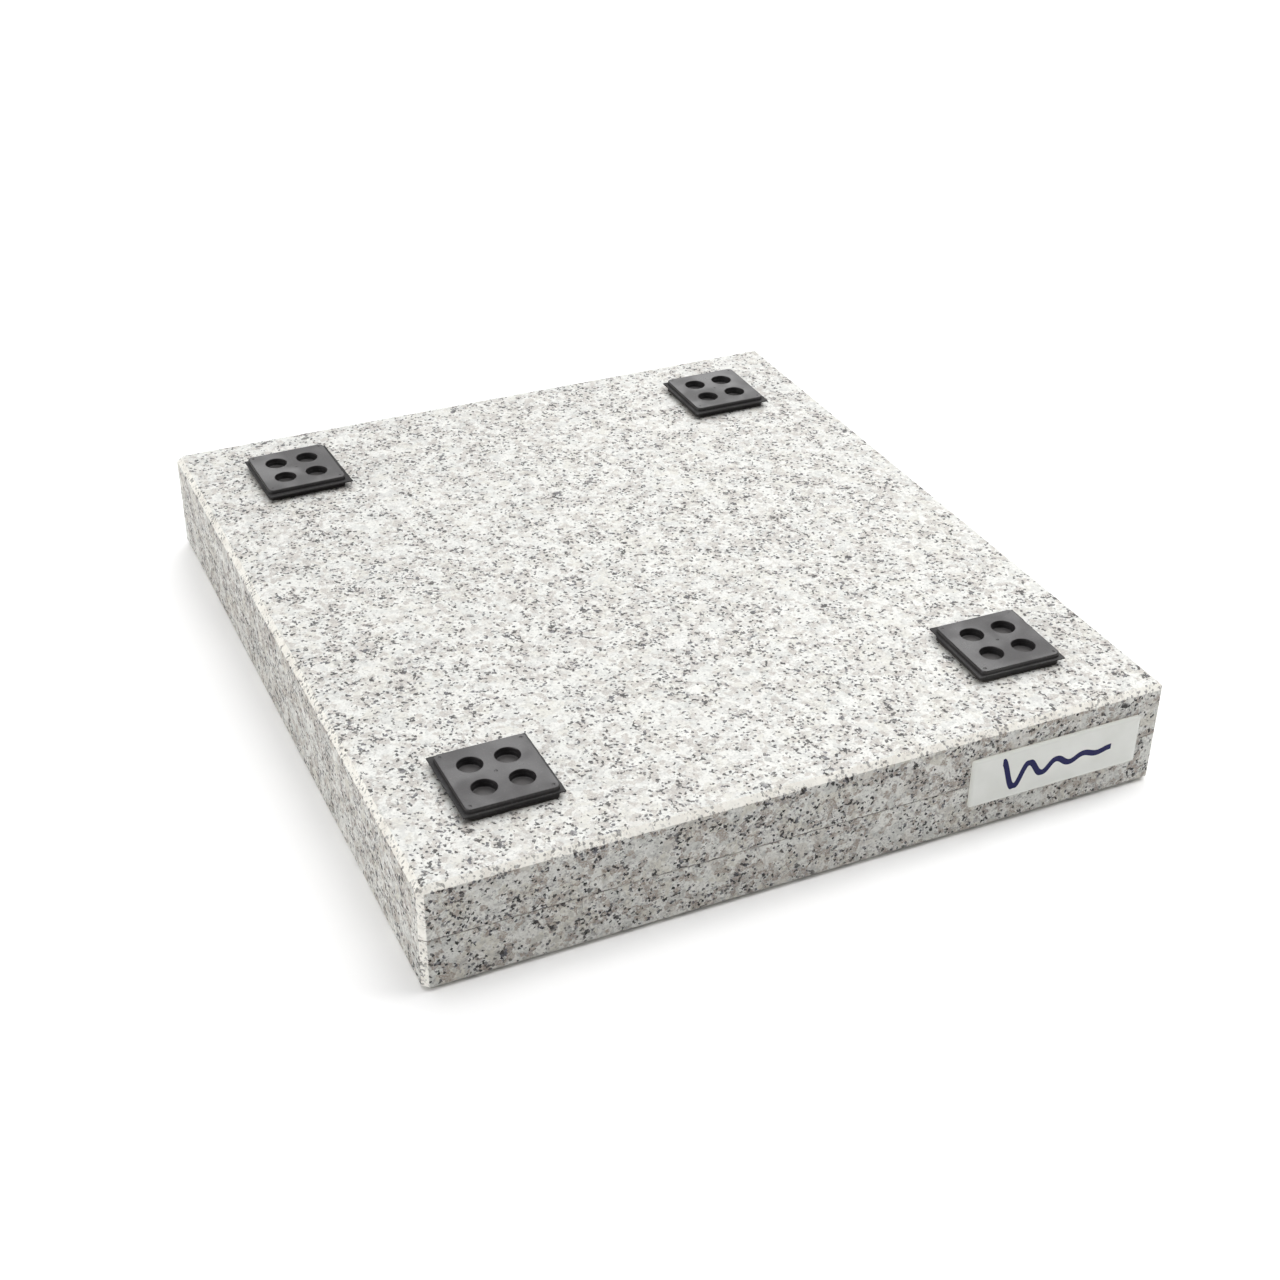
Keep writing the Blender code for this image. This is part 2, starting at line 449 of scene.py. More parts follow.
def granite(name, cut, whitened_top_level):
    """Pale speckled granite, whose pale minerals are whitened above whitened_top_level: partly
    sawn bruising, partly a painted highlight that washes out the lit top.
    """
    material, start = new_finish(name)
    place = object_place(start, *cut)
    crowding = crowding_at(place)
    quartz = quartz_share(place, crowding)
    mica = mica_share(place).most(mica_book_share(place, crowding))
    tints = cells(wandering(place, 1.8, 3.4, 4.0), TINT_GRAIN, output="Color").parts()
    colour = feldspar(place).dyed(SMOKY_BROWN, smoky_share(place, crowding))
    colour = colour.dyed(toned(start, tints[0], *QUARTZ_TONES), quartz * 0.95)
    height = start.node("ShaderNodeTexCoord", output="Object").parts()[2]
    # Painted highlight: the top face is whitened, partly for the sawn face's bruised minerals,
    # partly to wash out the brightly lit top.
    sawn_top_and_highlight = height.rise(whitened_top_level, whitened_top_level + 0.2 * MM)
    colour = colour.dyed(BRUISED_AND_HIGHLIGHT_WHITE, sawn_top_and_highlight * SAWN_AND_HIGHLIGHT_WHITENING)
    # Painted highlight: the arrises turn cream, partly for the ground finish, partly to make the
    # chamfers as bright as the lit top.
    arris = arris_closeness(start)
    colour = colour.dyed(GROUND_AND_HIGHLIGHT_CREAM, arris * GROUND_AND_HIGHLIGHT_WHITENING)
    # Fewer dark flecks and less grey dust on the whitened top and arrises, part of their painted
    # highlight.
    clear = 1 - sawn_top_and_highlight * 0.10 - arris * 0.35
    dust = mica_dust_share(place, crowding) * (clear - sawn_top_and_highlight * 0.35)
    colour = colour.dyed(DUSTY_GREY, dust * 0.55)
    black = toned(start, tints[1], *MICA_TONES, stepped=True)
    colour = colour.dyed(black, mica * clear * 0.97)
    tooth = cloudy(place, SAWN_TOOTH, 2.0)
    close_finish(start, {
        "Base Color": colour,
        "Roughness": 0.46 + quartz * -0.10 + mica * 0.12 + tooth * 0.12,
        "Specular IOR Level": 0.35,
        "Normal": relief(start, tooth * 0.6 - mica * 0.8, 0.05 * MM, 0.5),
    })
    return material


def plate_epoxy():
    """The cured, stained bond line between the plates."""
    material, start = new_finish("plate_bond_epoxy")
    place = object_place(start)
    colour = toned(
        start, cloudy(place, 6.0, 4.0),
        (0.34, paint(0.090, 0.082, 0.074)),
        (0.48, paint(0.260, 0.242, 0.220)),
        (0.63, paint(0.560, 0.540, 0.500)),
    )
    grit = cloudy(place, 0.4, 2.0)
    close_finish(start, {
        "Base Color": colour,
        "Roughness": 0.5 + grit * 0.3,
        "Normal": relief(start, grit, 0.1 * MM, 0.6),
    })
    return material


def moulded_rubber():
    """Satin black rubber with a fine moulded tooth, dust and a few scuffs."""
    material, start = new_finish("foot_rubber")
    place = object_place(start)
    tooth = cloudy(place, 0.28, 2.0)
    flow = cloudy(wandering(place, 12.0, 8.0), 9.0, 3.0)
    rubbed = cloudy(wandering(place, 20.0, 14.0), 26.0, 2.0).rise(0.36, 0.62)
    tread_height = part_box("foot_front_left")[1].z
    below = (tread_height - start.node("ShaderNodeTexCoord", output="Object").parts()[2]) / MM
    facing_up = start.node("ShaderNodeNewGeometry", output="Normal").parts()[2].rise(0.6, 0.9)
    recess_depth = RECESS_DEPTH / MM
    settled = below.rise(recess_depth - 0.5, recess_depth - 0.2) * facing_up
    # Darker and matter from about a millimetre below the tread down, over the pad's sides, the
    # web and the base, but not the recess floors.
    under_tread_share = below.rise(0.8, 1.6) - settled
    dust = cloudy(place, 1.0, 5.0).rise(0.52, 0.80).most(settled * 0.9)
    colour = toned(
        start, flow,
        (0.25, paint(0.012, 0.0105, 0.0110)), (0.75, paint(0.026, 0.0225, 0.0240)),
    )
    colour = colour.dyed(paint(0.006, 0.0055, 0.0055), under_tread_share * 0.6)
    colour = colour.dyed(paint(0.30, 0.29, 0.28), dust * 0.16)
    close_finish(start, {
        "Base Color": colour,
        "Roughness": 0.23 + flow * 0.12 + rubbed * 0.20 + dust * 0.15 + under_tread_share * 0.30,
        "Specular IOR Level": 0.60,
        "Normal": relief(start, tooth + flow * 0.5, 0.04 * MM, 0.5),
    })
    return material


def contact_glue():
    """Cured contact glue squeezed out under a foot."""
    material, start = new_finish("foot_glue")
    place = object_place(start)
    lumps = cloudy(place, 1.6, 3.0)
    colour = toned(
        start, lumps, (0.3, paint(0.030, 0.028, 0.026)), (0.7, paint(0.085, 0.075, 0.065)),
    )
    close_finish(start, {
        "Base Color": colour,
        "Roughness": 0.30 + lumps * 0.4,
        "Normal": relief(start, lumps, 0.2 * MM, 0.7),
    })
    return material


PRINT_NAVY = paint(0.005, 0.006, 0.070)
WAVE_START = -33.0                # along the label from its middle, in mm
WAVE_LENGTH = 66.0
WAVE_SWING = 9.5
WAVE_DECAY = 24.0
WAVE_PERIOD = 16.5
WAVE_STROKE = 3.4


def label_place(start):
    """Millimetres along and up the label from its middle."""
    low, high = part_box("label_dome")
    x, _, z = start.node("ShaderNodeTexCoord", output="Object").parts()
    return (x - (low.x + high.x) / 2) / MM, (z - (low.z + high.z) / 2) / MM


def settling_wave(along, up):
    """Ink share of a wave that dies away, the sign for settled vibration."""
    run = along - WAVE_START
    pace = 2 * math.pi / WAVE_PERIOD
    swing = run.math("EXPONENT", run * (-1 / WAVE_DECAY)) * WAVE_SWING
    sine = run.math("SINE", run * pace)
    cosine = run.math("COSINE", run * pace)
    line = swing * cosine
    slope = swing * (sine * pace + cosine * (1 / WAVE_DECAY))
    gap = (up - line).size() / ((slope * slope + 1) ** 0.5)
    inside = run.rise(-0.1, 0.1) * run.fall(WAVE_LENGTH - 0.1, WAVE_LENGTH + 0.1)
    return gap.fall(WAVE_STROKE / 2 - 0.08, WAVE_STROKE / 2 + 0.08) * inside


def label_ink(start):
    """1 where the label is printed, 0 where it is bare."""
    return settling_wave(*label_place(start))


def label_rim_shade_mask(start):
    """1 at the label's edge, 0 from two millimetres in: where the resin gets painted shade."""
    along, up = label_place(start)
    inset = (LABEL_WIDTH / MM / 2 - along.size()).least(LABEL_HEIGHT / MM / 2 - up.size())
    return inset.fall(0.0, 2.0)


def label_resin():
    """Clear domed resin, with the print as it shows through and painted shade round its rim."""
    material, start = new_finish("label_dome")
    place = object_place(start)
    ink = label_ink(start)
    edge = label_rim_shade_mask(start)
    haze = cloudy(place, 14.0, 2.0)
    colour = toned(
        start, haze, (0.3, paint(0.700, 0.710, 0.672)), (0.7, paint(0.755, 0.762, 0.732)),
    )
    colour = colour.dyed(PRINT_NAVY, ink)
    # Painted shade: the resin greys over the last two millimetres towards its rim.
    colour = colour.dyed(paint(0.60, 0.61, 0.57), edge * 0.5)
    close_finish(start, {
        "Base Color": colour,
        "Roughness": 0.14 + haze * 0.06,
        "Specular IOR Level": 0.08,
        "Coat Weight": 0.10 + haze * 0.06,
        "Coat Roughness": 0.04,
        "Normal": relief(start, haze, 0.03 * MM, 0.4),
    })
    return material


def label_print():
    """The printed film under the resin."""
    material, start = new_finish("label_print")
    place = object_place(start)
    fibre = cloudy(place, 0.5, 2.0)
    colour = toned(
        start, fibre, (0.3, paint(0.700, 0.710, 0.680)), (0.7, paint(0.760, 0.765, 0.735)),
    )
    close_finish(start, {
        "Base Color": colour.dyed(PRINT_NAVY, label_ink(start)),
        "Roughness": 0.35 + fibre * 0.1,
    })
    return material


def label_adhesive():
    """The yellowed edge of the label's adhesive."""
    material, start = new_finish("label_adhesive")
    grime = cloudy(object_place(start), 1.5, 3.0)
    colour = toned(start, grime, (0.3, paint(0.58, 0.57, 0.52)), (0.7, paint(0.72, 0.71, 0.66)))
    close_finish(start, {
        "Base Color": colour,
        "Roughness": 0.45 + grime * 0.2,
        "Normal": relief(start, grime, 0.05 * MM, 0.5),
    })
    return material


# -------------------------------------------------------------------- shapes
def arris_profile(size, softness):
    """(inset, drop) points over a chamfer, from the wall up onto the face."""
    half = softness / math.sqrt(2)
    lower = ((0.0, size + softness), (0.0, size), (half, size - half))
    points = []
    for step in range(4):
        t = step / 3
        weights = ((1 - t) ** 2, 2 * t * (1 - t), t * t)
        points.append(tuple(
            sum(w * p[axis] for w, p in zip(weights, lower)) for axis in (0, 1)
        ))
    upper = [(drop, inset) for inset, drop in reversed(points)]
    middle = [(size * share, size * (1 - share)) for share in (0.35, 0.5, 0.65)]
    return points + middle + upper


def chamfered_outline(inset, steps_x, steps_y):
    """The slab's outline at an inset, with chamfered corners, anticlockwise."""
    half_x, half_y = SLAB_HALF_WIDTH - inset, SLAB_HALF_DEPTH - inset
    leg = max(ARRIS - inset * (2 - math.sqrt(2)), 0.3 * MM)
    profile = arris_profile(leg, min(ARRIS_SOFTNESS, leg / 2))
    points = []
    for turn, (half_u, half_v, steps) in enumerate((
        (half_x, half_y, steps_y), (half_y, half_x, steps_x),
        (half_x, half_y, steps_y), (half_y, half_x, steps_x),
    )):
        turned = Matrix.Rotation(turn * math.pi / 2, 2)
        reach = half_v - profile[0][1]
        for step in range(steps):
            points.append(turned @ Vector((half_u, reach * (2 * step / steps - 1))))
        for inward, drop in profile[:-1]:
            points.append(turned @ Vector((half_u - inward, half_v - drop)))
    return points


def rounded_outline(width, depth, radius, side_steps, corner_steps=8):
    """A rounded rectangle's outline, anticlockwise from the lower right side."""
    half_x, half_y = width / 2 - radius, depth / 2 - radius
    points = []
    for turn, (centre_x, centre_y) in enumerate((
        (half_x, half_y), (-half_x, half_y), (-half_x, -half_y), (half_x, -half_y),
    )):
        start = turn * math.pi / 2
        length = 2 * (half_y if turn % 2 == 0 else half_x)
        along = Vector((-math.sin(start), math.cos(start)))
        first = Vector((centre_x, centre_y)) + radius * Vector((math.cos(start), math.sin(start)))
        for step in range(side_steps):
            points.append(first - along * length * (1 - step / side_steps))
        for step in range(corner_steps):
            angle = start + step / corner_steps * math.pi / 2
            points.append(
                Vector((centre_x, centre_y)) + radius * Vector((math.cos(angle), math.sin(angle)))
            )
    return points


def loft(rings):
    """A closed shell through rings of equal count, from the lowest to the highest."""
    mesh = bmesh.new()
    rows = [[mesh.verts.new(point) for point in ring] for ring in rings]
    count = len(rows[0])
    for lower, upper in zip(rows, rows[1:]):
        for i in range(count):
            j = (i + 1) % count
            mesh.faces.new((lower[i], lower[j], upper[j], upper[i]))
    mesh.faces.new(list(reversed(rows[0])))
    mesh.faces.new(rows[-1])
    return mesh


def level(outline, height):
    """A flat outline lifted to a height."""
    return [Vector((point.x, point.y, height)) for point in outline]


def as_mesh(mesh, name, sharp_degrees=32.0):
    """A bmesh as mesh data, shaded smooth except along sharp edges."""
    data = bpy.data.meshes.new(name)
    mesh.to_mesh(data)
    mesh.free()
    data.shade_smooth()
    data.set_sharp_from_angle(angle=math.radians(sharp_degrees))
    return data


def add_object(name, data, material=None):
    """A new object in the scene, with its material on its mesh."""
    item = bpy.data.objects.new(name, data)
    bpy.context.scene.collection.objects.link(item)
    if material:
        data.materials.append(material)
    return item


def fit_to_frame(item, node):
    """Puts a finished piece on the frame in place of its CAD node."""
    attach(item, "root")
    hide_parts(node)


# ------------------------------------------------------------ geometry nodes
def new_tree(name, inputs):
    """A geometry node tree with named inputs: its group, start wire and inputs."""
    tree = bpy.data.node_groups.new(name, "GeometryNodeTree")
    face = tree.interface
    face.new_socket("Geometry", in_out="INPUT", socket_type="NodeSocketGeometry")
    for label, kind in inputs:
        face.new_socket(label, in_out="INPUT", socket_type=kind)
    face.new_socket("Geometry", in_out="OUTPUT", socket_type="NodeSocketGeometry")
    entry = Wire(tree).node("NodeGroupInput", output="Geometry")
    return tree, entry, {label: entry.twin(label) for label, _ in inputs}


def close_tree(geometry, material):
    """Ends a tree with its instances made real and its material set."""
    geometry = geometry.node("GeometryNodeRealizeInstances", inputs={"Geometry": geometry})
    geometry = geometry.node(
        "GeometryNodeSetMaterial", inputs={"Geometry": geometry, "Material": material},
    )
    geometry.node("NodeGroupOutput", inputs={"Geometry": geometry})


def shaped_by(item, tree, values, name):
    """Runs a tree on an object and returns the plain mesh it makes."""
    modifier = item.modifiers.new(tree.name, "NODES")
    modifier.node_group = tree
    for entry in tree.interface.items_tree:
        if entry.in_out == "INPUT" and entry.name in values:
            modifier[entry.identifier] = values[entry.name]
    weighted = item.modifiers.new("weighted_normals", "WEIGHTED_NORMAL")
    weighted.keep_sharp = True
    bpy.context.view_layer.update()
    ready = item.evaluated_get(bpy.context.evaluated_depsgraph_get())
    data = bpy.data.meshes.new_from_object(ready)
    data.name = name
    item.modifiers.clear()
    return data


def arris_wear_tree(material):
    """Wears and chips a plate's outer arrises, and frays the joint's edge."""
    tree, geometry, values = new_tree("arris_wear", (
        ("Outer Height", "NodeSocketFloat"),
        ("Joint Height", "NodeSocketFloat"),
        ("Wear", "NodeSocketFloat"),
        ("Chip Depth", "NodeSocketFloat"),
        ("Chip Share", "NodeSocketFloat"),
        ("Joint Fray", "NodeSocketFloat"),
    ))
    place = geometry.node("GeometryNodeInputPosition")
    normal = geometry.node("GeometryNodeInputNormal")
    x, y, z = place.parts()
    level_gap = (z - values["Outer Height"]).size()
    on_arris = edge_distance(x, y, level_gap).fall(ARRIS, ARRIS + 1.6 * MM)
    ripple = cloudy(place, 3.0 * MM, 3.0).rise(0.35, 0.75)
    chip = cells(wandering(place, 1.2 * MM, 0.8 * MM), 4.5 * MM)
    chipped = (chip.twin("Color").parts()[0] - values["Chip Share"]).fall(0.0, 0.02)
    bite = chip.fall(0.12, 0.42) * chipped
    at_joint = (z - values["Joint Height"]).size().fall(0.1 * MM, 0.8 * MM)
    fray = cloudy(place, 1.6 * MM, 3.0).rise(0.42, 0.72) * values["Joint Fray"]
    depth = on_arris * (ripple * values["Wear"] + bite * values["Chip Depth"])
    depth = depth + at_joint * fray
    offset = normal.node(
        "ShaderNodeVectorMath", {"operation": "SCALE"}, {"Vector": normal, "Scale": depth * -1},
    )
    geometry = geometry.node(
        "GeometryNodeSetPosition", inputs={"Geometry": geometry, "Offset": offset},
    )
    close_tree(geometry, material)
    return tree


def tread_tree(material):
    """Sinks the recesses and the gate and ejector dimples into a foot's tread."""
    tree, geometry, values = new_tree("tread_recesses", (
        ("Recess", "NodeSocketObject"),
        ("Recess Pitch", "NodeSocketFloat"),
        ("Dimple", "NodeSocketObject"),
        ("Dimple Pitch", "NodeSocketFloat"),
        ("Placement", "NodeSocketObject"),
        ("Seed", "NodeSocketInt"),
    ))

    def square_of(pitch):
        return geometry.node("GeometryNodeMeshGrid", inputs={
            "Size X": pitch, "Size Y": pitch, "Vertices X": 2, "Vertices Y": 2,
        })

    def set_on(points, cutter, scale):
        shape = geometry.node(
            "GeometryNodeObjectInfo", {"transform_space": "ORIGINAL"},
            {"Object": cutter}, "Geometry",
        )
        return geometry.node("GeometryNodeInstanceOnPoints", inputs={
            "Points": points, "Instance": shape, "Scale": scale,
        })

    wobble = geometry.node(
        "FunctionNodeRandomValue", {"data_type": "FLOAT_VECTOR"},
        {"Min": (0.75, 0.75, 0.5), "Max": (1.15, 1.15, 1.3), "Seed": values["Seed"]},
    )
    recesses = set_on(square_of(values["Recess Pitch"]), values["Recess"], (1.0, 1.0, 1.0))
    corners = set_on(square_of(values["Dimple Pitch"]), values["Dimple"], wobble)
    centre = set_on(
        geometry.node("GeometryNodeMeshLine", inputs={"Count": 1}), values["Dimple"], wobble,
    )
    cutters = geometry.node(
        "GeometryNodeJoinGeometry", inputs={"Geometry": [recesses, corners, centre]},
    )
    spot = geometry.node(
        "GeometryNodeObjectInfo", {"transform_space": "ORIGINAL"},
        {"Object": values["Placement"]}, "Transform",
    )
    cutters = geometry.node("GeometryNodeTransform", {"mode": "MATRIX"}, {
        "Geometry": geometry.node(
            "GeometryNodeRealizeInstances", inputs={"Geometry": cutters},
        ),
        "Transform": spot,
    })
    geometry = geometry.node(
        "GeometryNodeMeshBoolean", {"operation": "DIFFERENCE", "solver": "EXACT"},
        {"Mesh 1": geometry, "Mesh 2": cutters}, "Mesh",
    )
    close_tree(geometry, material)
    return tree


# -------------------------------------------------------------- granite plates
def plate_levels(thickness):
    """(height, inset) up a plate, from the joint's edge to its outer face."""
    profile = arris_profile(ARRIS, ARRIS_SOFTNESS)
    wall_top = thickness - profile[0][1]
    levels = [(0.0, 0.22 * MM), (0.10 * MM, 0.06 * MM), (0.30 * MM, 0.0)]
    levels += [(drop * MM, 0.0) for drop in (0.8, 1.6, 4.0, 9.0, 15.0, 20.0)]
    levels += [(wall_top - drop * MM, 0.0) for drop in (2.4, 1.2, 0.5)]
    levels += [(thickness - drop, inset) for inset, drop in profile]
    levels += [(thickness, profile[-1][0] + inset * MM) for inset in (0.5, 1.2, 2.4, 5.0)]
    return levels


def granite_plate(name, tree, joint_height, outer_height, node):
    """A plate from the joint up or down to its outer face, worn at its arrises."""
    thickness = abs(outer_height - joint_height)
    levels = plate_levels(thickness)
    if outer_height < joint_height:
        levels = [(thickness - height, inset) for height, inset in reversed(levels)]
    base = min(joint_height, outer_height)
    steps_x = round(2 * SLAB_HALF_WIDTH / SAMPLE_SPACING)
    steps_y = round(2 * SLAB_HALF_DEPTH / SAMPLE_SPACING)
    mesh = loft([
        level(chamfered_outline(inset, steps_x, steps_y), base + height)
        for height, inset in levels
    ])
    bmesh.ops.triangulate(mesh, faces=[face for face in mesh.faces if len(face.verts) > 4])
    blank = add_object(name + "_blank", as_mesh(mesh, name + "_blank", 60.0))
    data = shaped_by(blank, tree, {
        "Outer Height": outer_height,
        "Joint Height": joint_height,
        "Wear": 0.16 * MM,
        "Chip Depth": 0.8 * MM,
        "Chip Share": 0.16,
        "Joint Fray": 0.25 * MM,
    }, name)
    bpy.data.objects.remove(blank)
    fit_to_frame(add_object(name, data), node)


def granite_plates():
    """The two plates, from different places in the rock."""
    # Above this level the top is whitened, partly sawn bruising and partly a painted highlight.
    whitened_top_level = SLAB_TOP - 0.3 * MM
    unwhitened_level = 1.0                # far above the slab, so nothing is whitened
    upper_stone = granite("foot_side_granite", FOOT_SIDE_CUT, whitened_top_level)
    lower_stone = granite("working_granite", WORKING_CUT, unwhitened_level)
    granite_plate(
        "honed_foot_side_plate", arris_wear_tree(upper_stone),
        JOINT_LEVEL + JOINT_GAP / 2, SLAB_TOP,
        "granite_foot_side_plate",
    )
    granite_plate(
        "honed_working_plate", arris_wear_tree(lower_stone),
        JOINT_LEVEL - JOINT_GAP / 2, 0.0,
        "granite_working_plate",
    )


def joint_epoxy():
    """Epoxy that fills the joint and stops just short of the edge faces."""
    rings = []
    for height, inset in (
        (-0.55, 0.9), (-0.30, 0.20), (0.0, 0.05), (0.30, 0.20), (0.55, 0.9),
    ):
        ring = level(chamfered_outline(inset * MM, *EPOXY_STEPS), JOINT_LEVEL + height * MM)
        for point in ring:
            away = Vector((point.x, point.y, 0.0)).normalized()
            slump = noise.noise(point / (7 * MM)) + 0.5 * noise.noise(point / (2 * MM))
            point -= away * (0.08 + 0.09 * slump) * MM
        rings.append(ring)
    mesh = loft(rings)
    bmesh.ops.triangulate(mesh, faces=[face for face in mesh.faces if len(face.verts) > 4])
    item = add_object("plate_joint_epoxy", as_mesh(mesh, "plate_joint_epoxy"), plate_epoxy())
    fit_to_frame(item, "plate_bond_film")


# ----------------------------------------------------------------- rubber feet
def lathe(profile, sides):
    """A closed turned shape from (radius, height) points, pole to pole."""
    mesh = bmesh.new()
    low = mesh.verts.new((0.0, 0.0, profile[0][1]))
    high = mesh.verts.new((0.0, 0.0, profile[-1][1]))
    rows = []
    for radius, height in profile[1:-1]:
        rows.append([
            mesh.verts.new((
                radius * math.cos(2 * math.pi * i / sides),
                radius * math.sin(2 * math.pi * i / sides),
                height,
            ))
            for i in range(sides)
        ])
    for i in range(sides):
        j = (i + 1) % sides
        mesh.faces.new((low, rows[0][j], rows[0][i]))
        for lower, upper in zip(rows, rows[1:]):
            mesh.faces.new((lower[i], lower[j], upper[j], upper[i]))
        mesh.faces.new((rows[-1][i], rows[-1][j], high))
    return mesh


def recess_cutter():
    """The shape of one blind recess, hung from the tread at height zero."""
    radius, depth = RECESS_RADIUS, RECESS_DEPTH
    fillet, lip = RECESS_FILLET, RECESS_LIP
    profile = [(0.0, -depth), (radius * 0.5, -depth)]
    for step in range(5):
        angle = step / 4 * math.pi / 2
        profile.append((
            radius - fillet + fillet * math.sin(angle),
            -depth + fillet - fillet * math.cos(angle),
        ))
    middle = -depth * 0.5
    profile += [
        (radius, middle - 0.25 * MM),
        (radius + 0.10 * MM, middle - 0.12 * MM),
        (radius + 0.10 * MM, middle + 0.05 * MM),
        (radius + 0.02 * MM, middle + 0.15 * MM),
    ]
    for step in range(5):
        angle = step / 4 * math.radians(80)
        profile.append((
            radius + 0.02 * MM + lip - lip * math.cos(angle),
            -lip + lip * math.sin(angle),
        ))
    profile += [(radius + 2 * lip, 0.3 * MM), (radius + 2 * lip, 1.0 * MM), (0.0, 1.0 * MM)]
    return lathe(profile, RECESS_SIDES)


def dimple_cutter():
    """A shallow gate or ejector mark, centred on the tread at height zero."""
    profile = [(0.0, -DIMPLE_DEPTH)]
    for radius, height in ((0.45, -0.46), (0.75, -0.30), (0.90, 0.0), (1.00, 0.10)):
        profile.append((radius * MM, height * MM))
    profile.append((0.0, 0.4 * MM))
    return lathe(profile, DIMPLE_SIDES)


def web_outline(outline, corner, edge):
    """The trimmed web's ragged outline, point for point with the foot's."""
    _, offset, turn = FOOT_SETTING[corner]
    turned = Matrix.Rotation(math.radians(turn), 2)
    half = FOOT_SIDE / 2 + WEB_MARGIN
    tears, nicks = 4 * MM, 1.3 * MM
    depth_in_noise = CORNERS.index(corner) * 3.7 * MM
    points = []
    for point in outline:
        reach = max(abs(point.x), abs(point.y))
        square = point * (half / reach)
        spot = Vector((square.x, square.y, depth_in_noise))
        ragged = noise.noise(spot / tears) + 0.6 * noise.noise(spot / nicks)
        square *= 1 + (ragged * 0.22 + edge) * MM / half
        points.append(turned @ square + Vector(offset))
    return points


def foot_blank(corner, base, top):
    """The moulding before its recesses: pad, trimmed web and softened edges."""
    middle = (base + top) / 2

    def pad(inset):
        return rounded_outline(
            FOOT_SIDE - 2 * inset, FOOT_SIDE - 2 * inset,
            FOOT_CORNER_RADIUS - inset * 0.5, TREAD_STEPS,
        )

    web = rounded_outline(FOOT_SIDE, FOOT_SIDE, 0.02 * MM, TREAD_STEPS)
    rings = [level(pad(0.6 * MM), base), level(pad(0.2 * MM), base + 0.12 * MM)]
    rings.append(level(pad(0.05 * MM), base + 0.5 * MM))
    rings.append(level(pad(0.0), middle - WEB_THICKNESS / 2 - 0.15 * MM))
    for edge, height in ((-0.12, -0.5), (0.0, -0.38), (0.0, 0.38), (-0.12, 0.5)):
        rings.append(level(web_outline(web, corner, edge), middle + height * WEB_THICKNESS))
    rings.append(level(pad(0.0), middle + WEB_THICKNESS / 2 + 0.15 * MM))
    rings.append(level(pad(MOULD_DRAFT * 0.9), top - FOOT_EDGE_RADIUS))
    for step in range(1, 5):
        angle = step / 4 * math.pi / 2
        inset = MOULD_DRAFT + FOOT_EDGE_RADIUS * (1 - math.cos(angle))
        drop = FOOT_EDGE_RADIUS * (1 - math.sin(angle))
        rings.append(level(pad(inset), top - drop))
    rings.append(level(pad(MOULD_DRAFT + FOOT_EDGE_RADIUS + 0.3 * MM), top))
    return loft(rings)


def foot_seat(corner):
    """Where the middle of a foot stands on the slab, and its turn."""
    mounts = {mount["name"]: mount["pos_m"] for mount in frame["record"]["mounts"]}
    x, y, _ = mounts[f"tread_{corner}"]
    return Vector((x, y, 0.0)), math.radians(FOOT_SETTING[corner][0])


def rubber_foot(corner, tree, cutters):
    """One moulded foot, turned and set where the CAD has it."""
    low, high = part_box(f"foot_{corner}")
    centre, turn = foot_seat(corner)
    place = Matrix.Translation(centre) @ Matrix.Rotation(turn, 4, "Z")
    mesh = foot_blank(corner, low.z, high.z)
    bmesh.ops.transform(mesh, matrix=place, verts=mesh.verts)
    name = f"moulded_foot_{corner}"
    blank = add_object(name + "_blank", as_mesh(mesh, name + "_blank"))
    spot = add_object(name + "_spot", None)
    spot.matrix_world = Matrix.Translation((0.0, 0.0, high.z)) @ place
    data = shaped_by(blank, tree, {
        "Recess": cutters[0],
        "Recess Pitch": RECESS_PITCH,
        "Dimple": cutters[1],
        "Dimple Pitch": DIMPLE_PITCH,
        "Placement": spot,
        "Seed": DIMPLE_SEED + CORNERS.index(corner),
    }, name)
    bpy.data.objects.remove(blank)
    bpy.data.objects.remove(spot)
    fit_to_frame(add_object(name, data), f"foot_{corner}")


def foot_glue_bead(corner, glue):
    """Glue from the granite up to the foot, with an uneven squeezed-out bead."""
    centre, turn = foot_seat(corner)
    foot_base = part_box(f"foot_{corner}")[0].z
    turned = Matrix.Rotation(turn, 2)
    rings = []
    for height, inset in (
        (SLAB_TOP - 0.05 * MM, -0.1), (SLAB_TOP + 0.25 * MM, 0.05),
        (SLAB_TOP + 0.6 * MM, 0.35), (foot_base + 0.05 * MM, 0.9),
    ):
        outline = rounded_outline(FOOT_SIDE, FOOT_SIDE, FOOT_CORNER_RADIUS, 40, 6)
        ring = []
        for point in outline:
            spot = turned @ point
            world = Vector((spot.x + centre.x, spot.y + centre.y, 0.0))
            squeeze = 0.5 * noise.noise(world / (9 * MM)) + 0.3 * noise.noise(world / (3 * MM))
            spot -= spot.normalized() * (inset + 0.25 - squeeze * 0.7) * MM
            ring.append(Vector((spot.x + centre.x, spot.y + centre.y, height)))
        rings.append(ring)
    name = f"glue_bead_{corner}"
    item = add_object(name, as_mesh(loft(rings), name), glue)
    fit_to_frame(item, f"foot_{corner}_bond_film")


def rubber_feet():
    """The four feet and the glue under them."""
    tree = tread_tree(moulded_rubber())
    glue = contact_glue()
    cutters = (
        add_object("recess_cutter", as_mesh(recess_cutter(), "recess_cutter")),
        add_object("dimple_cutter", as_mesh(dimple_cutter(), "dimple_cutter")),
    )
    for corner in CORNERS:
        rubber_foot(corner, tree, cutters)
        foot_glue_bead(corner, glue)
    for cutter in cutters:
        bpy.data.objects.remove(cutter)


